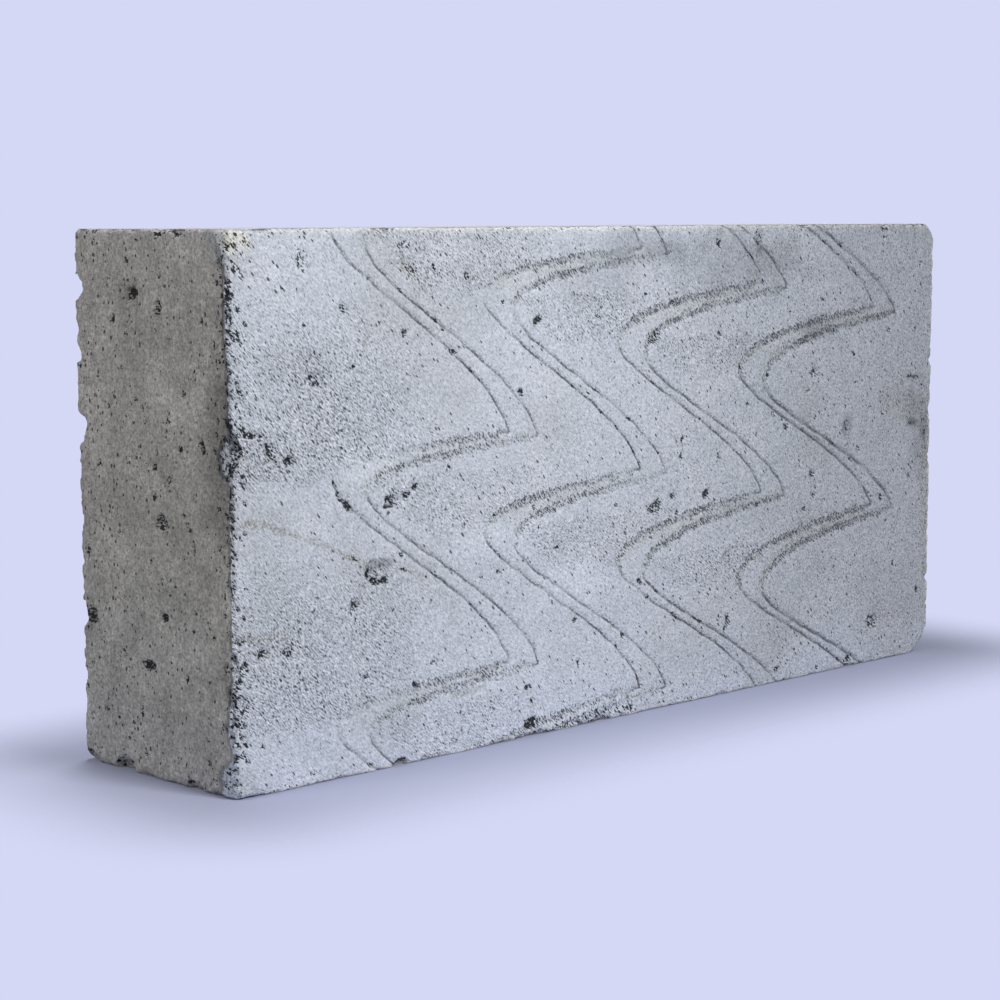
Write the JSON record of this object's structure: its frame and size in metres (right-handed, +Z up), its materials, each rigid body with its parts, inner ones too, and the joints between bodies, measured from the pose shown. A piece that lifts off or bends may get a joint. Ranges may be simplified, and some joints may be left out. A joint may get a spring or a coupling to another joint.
{
  "type": "concrete block",
  "caption": "Solid lightweight concrete building block with a wire-cut face, worn corners and open air voids, for laying in mortar or adhesive.",
  "frame": {"origin": "middle of the bottom bed, on the floor the block stands on", "axes": "+X along the length, +Y through the thickness, away from the wire-cut face, +Z up"},
  "size_m": [0.44, 0.1, 0.215],
  "materials": {
    "concrete": "wire-cut, matt, finely pored"
  },
  "bodies": {
    "root": {"concrete_block": "concrete"}
  },
  "joints": []
}
